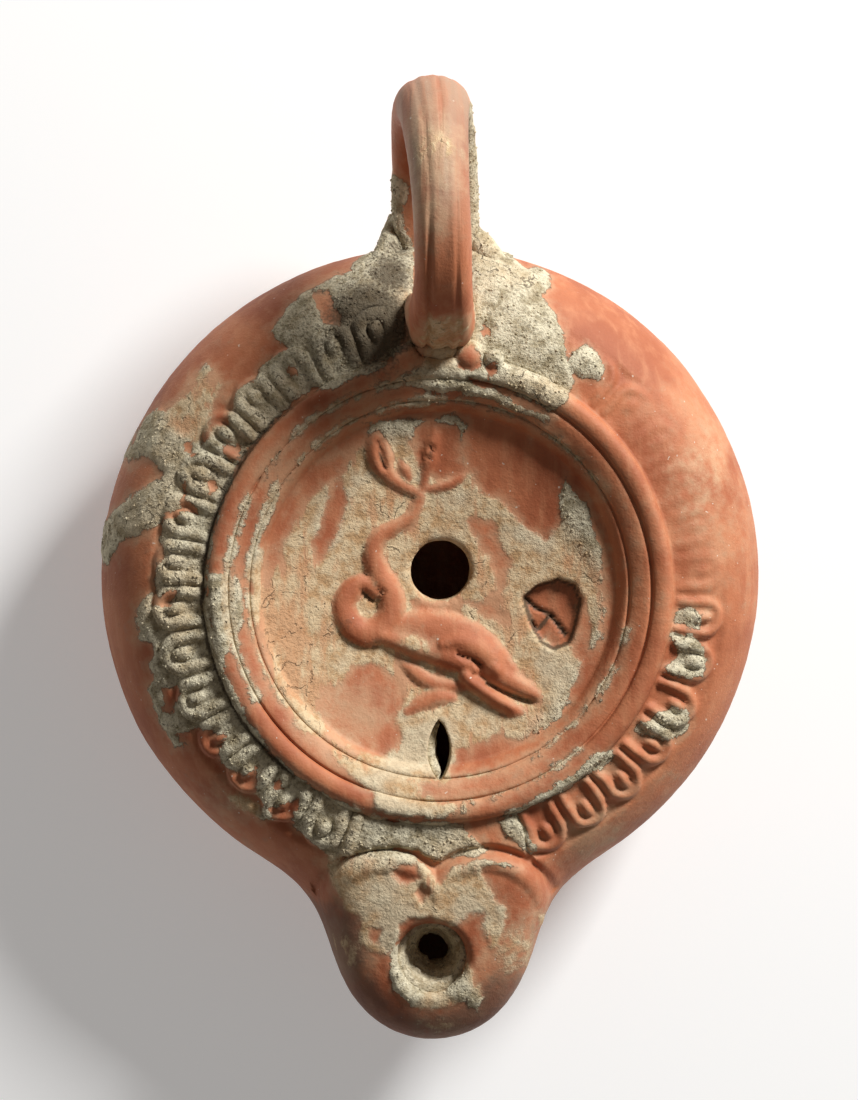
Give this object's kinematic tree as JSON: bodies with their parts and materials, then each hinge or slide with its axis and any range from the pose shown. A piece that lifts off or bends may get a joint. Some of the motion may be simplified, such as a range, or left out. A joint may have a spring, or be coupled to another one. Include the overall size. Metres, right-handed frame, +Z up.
{
  "type": "roman oil lamp",
  "caption": "Hollow round terracotta oil lamp with a dished, ringed discus, dolphin relief, egg border, heart-shaped nozzle top and a pierced ring handle.",
  "frame": {"origin": "middle of the flat base, on the surface the lamp stands on, under the axis of the discus", "axes": "+Z up, +Y towards the handle, -Y towards the nozzle, +X to the right seen from above with the handle at the top"},
  "size_m": [0.076, 0.1108, 0.0418],
  "materials": {
    "fired_clay": "unglazed orange-brown clay, matt, with patches of beige soil crust and soot at the nozzle"
  },
  "bodies": {
    "root": {"lamp": "fired_clay"}
  },
  "joints": []
}
